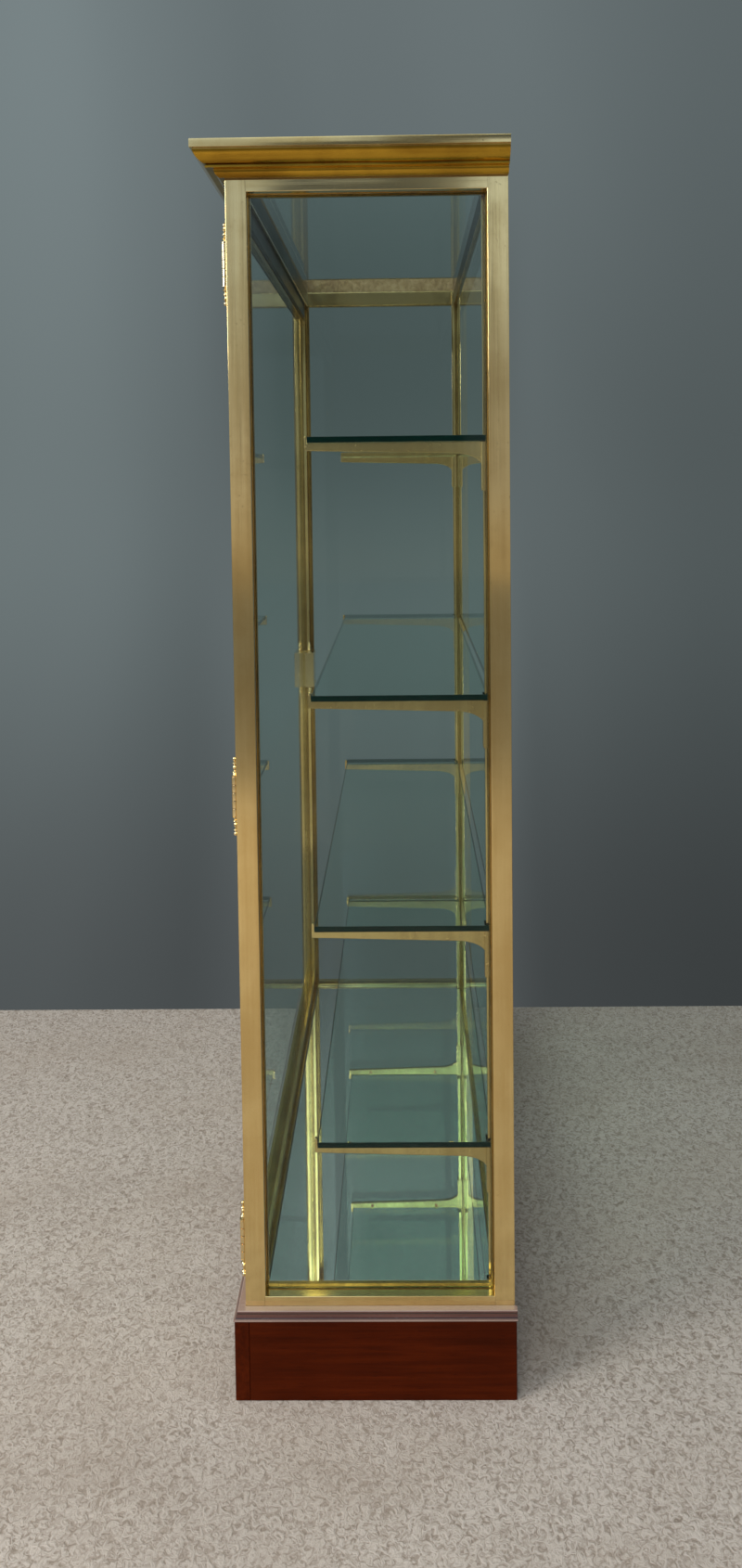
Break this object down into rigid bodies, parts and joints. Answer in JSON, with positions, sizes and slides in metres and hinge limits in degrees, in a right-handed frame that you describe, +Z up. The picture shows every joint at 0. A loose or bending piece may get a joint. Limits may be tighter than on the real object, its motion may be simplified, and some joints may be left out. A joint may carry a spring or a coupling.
{
  "type": "glazed display cabinet",
  "caption": "Tall brass-framed glazed display cabinet on a mahogany plinth, with a moulded cornice, mirror floor, hinged door and glass shelves on sliding brackets.",
  "frame": {"origin": "centre of the overall box at floor level", "axes": "+X along the cabinet from the lock side to the hinge side, -Y towards the door, +Z up"},
  "size_m": [1.151, 0.445, 1.83],
  "materials": {
    "mahogany": "french polished mahogany, dark red brown, satin gloss",
    "carcass_timber": "plain sawn softwood, unfinished",
    "floor_mirror": "silvered plate glass",
    "frame_brass": "polished brass with soft patina",
    "cornice_brass": "polished brass, darker golden brown in the mouldings",
    "case_glass": "clear plate glass",
    "shelf_glass": "clear plate glass with polished dark green edges",
    "fittings_brass": "cast and turned brass, polished",
    "lock_steel": "bright steel"
  },
  "bodies": {
    "case": {"plinth_front": "mahogany", "plinth_end_left": "mahogany", "plinth_end_right": "mahogany", "plinth_moulding": "mahogany", "plinth_back": "mahogany", "plinth_blocks": "carcass_timber", "base_board": "carcass_timber", "floor_bed": "carcass_timber", "cornice_core": "carcass_timber", "floor_mirror": "floor_mirror", "post_front_left": "frame_brass", "post_front_right": "frame_brass", "post_back_left": "frame_brass", "post_back_right": "frame_brass", "bottom_rail_front": "frame_brass", "bottom_rail_back": "frame_brass", "bottom_rail_left": "frame_brass", "bottom_rail_right": "frame_brass", "head_rail_front": "frame_brass", "head_rail_back": "frame_brass", "head_rail_left": "frame_brass", "head_rail_right": "frame_brass", "back_beads": "frame_brass", "end_beads_left": "frame_brass", "end_beads_right": "frame_brass", "door_rebate_strips": "frame_brass", "shelf_uprights": "frame_brass", "cornice_front": "cornice_brass", "cornice_left": "cornice_brass", "cornice_right": "cornice_brass", "cornice_back": "cornice_brass", "top_glass": "case_glass", "back_glass": "case_glass", "end_glass_left": "case_glass", "end_glass_right": "case_glass", "hinge_frame_leaves": "fittings_brass", "hinge_pins": "fittings_brass", "frame_screws": "fittings_brass", "lock_keeper": "fittings_brass"},
    "door": {"door_stile_hinge": "frame_brass", "door_stile_lock": "frame_brass", "door_rail_top": "frame_brass", "door_rail_bottom": "frame_brass", "door_glass": "case_glass", "door_beads": "frame_brass", "hinge_door_leaves": "fittings_brass", "door_screws": "fittings_brass", "lock_case": "fittings_brass", "lock_cover": "fittings_brass", "lock_escutcheon": "fittings_brass"},
    "bolt": {"lock_bolt": "lock_steel"},
    "key": {"lock_key": "lock_steel"},
    "shelf_1": {"shelf_glass_1": "shelf_glass", "shelf_brackets_1": "fittings_brass"},
    "shelf_2": {"shelf_glass_2": "shelf_glass", "shelf_brackets_2": "fittings_brass"},
    "shelf_3": {"shelf_glass_3": "shelf_glass", "shelf_brackets_3": "fittings_brass"},
    "shelf_4": {"shelf_glass_4": "shelf_glass", "shelf_brackets_4": "fittings_brass"}
  },
  "joints": [
    {"name": "door_swing", "type": "hinge", "parent": "case", "child": "door", "pos_m": [0.50275, -0.1865, 0.9445], "axis": [0, 0, 1], "range_deg": [0, 175]},
    {"name": "key_turn", "type": "hinge", "parent": "door", "child": "key", "pos_m": [-0.487, -0.1805, 0.904], "axis": [0, 1, 0], "range_deg": [0, 90]},
    {"name": "bolt_throw", "type": "slide", "parent": "door", "child": "bolt", "axis": [-1, 0, 0], "range_m": [0, 0.008]},
    {"name": "shelf_1_height", "type": "slide", "parent": "case", "child": "shelf_1", "axis": [0, 0, 1], "range_m": [-0.1, 0.1]},
    {"name": "shelf_2_height", "type": "slide", "parent": "case", "child": "shelf_2", "axis": [0, 0, 1], "range_m": [-0.1, 0.1]},
    {"name": "shelf_3_height", "type": "slide", "parent": "case", "child": "shelf_3", "axis": [0, 0, 1], "range_m": [-0.1, 0.1]},
    {"name": "shelf_4_height", "type": "slide", "parent": "case", "child": "shelf_4", "axis": [0, 0, 1], "range_m": [-0.1, 0.1]}
  ],
  "couplings": [
    {"joint": "key_turn", "follows": "bolt_throw", "rad_per_m": 196.35}
  ]
}
